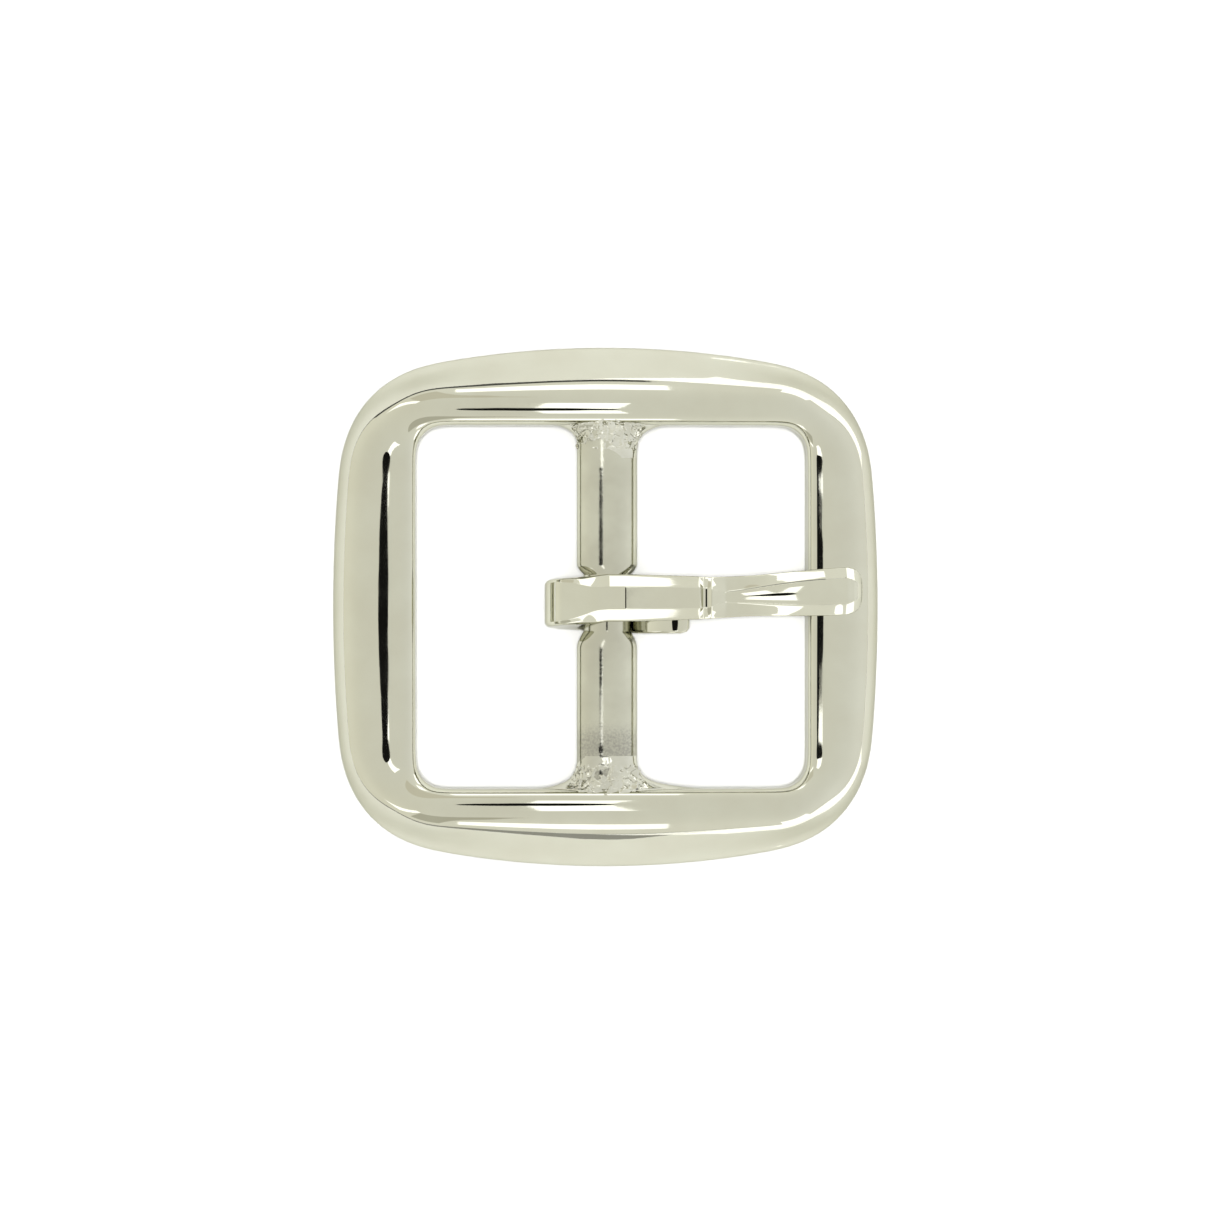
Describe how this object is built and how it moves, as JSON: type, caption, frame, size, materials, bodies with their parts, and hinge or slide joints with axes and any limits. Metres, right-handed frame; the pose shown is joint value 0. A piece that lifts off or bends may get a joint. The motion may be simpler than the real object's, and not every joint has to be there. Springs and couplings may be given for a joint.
{
  "type": "belt buckle",
  "caption": "Square centre-bar belt buckle: rounded polished surround, bar across its window, and a bent-strip prong hinged on the bar.",
  "frame": {"origin": "middle of the plane that the buckle's back rests on, under the middle of the surround", "axes": "+Z out of the front face, +X from the bar towards the prong's tip, Y along the bar"},
  "size_m": [0.0484, 0.046, 0.0077],
  "materials": {
    "polished_surround": "polished nickel plate",
    "cast_bar": "nickel plate over a cast, lightly polished surface",
    "braze_metal": "nickel plate over rough filler metal",
    "polished_prong": "polished nickel plate, faceted"
  },
  "bodies": {
    "buckle_frame": {"frame_ring": "polished_surround", "center_bar": "cast_bar", "upper_braze_fillet": "braze_metal", "lower_braze_fillet": "braze_metal"},
    "prong_body": {"prong": "polished_prong"}
  },
  "joints": [
    {"name": "prong_swing", "type": "hinge", "parent": "buckle_frame", "child": "prong_body", "pos_m": [0, 0.00027, 0.0038], "axis": [0, -1, 0], "range_deg": [0, 167]}
  ]
}
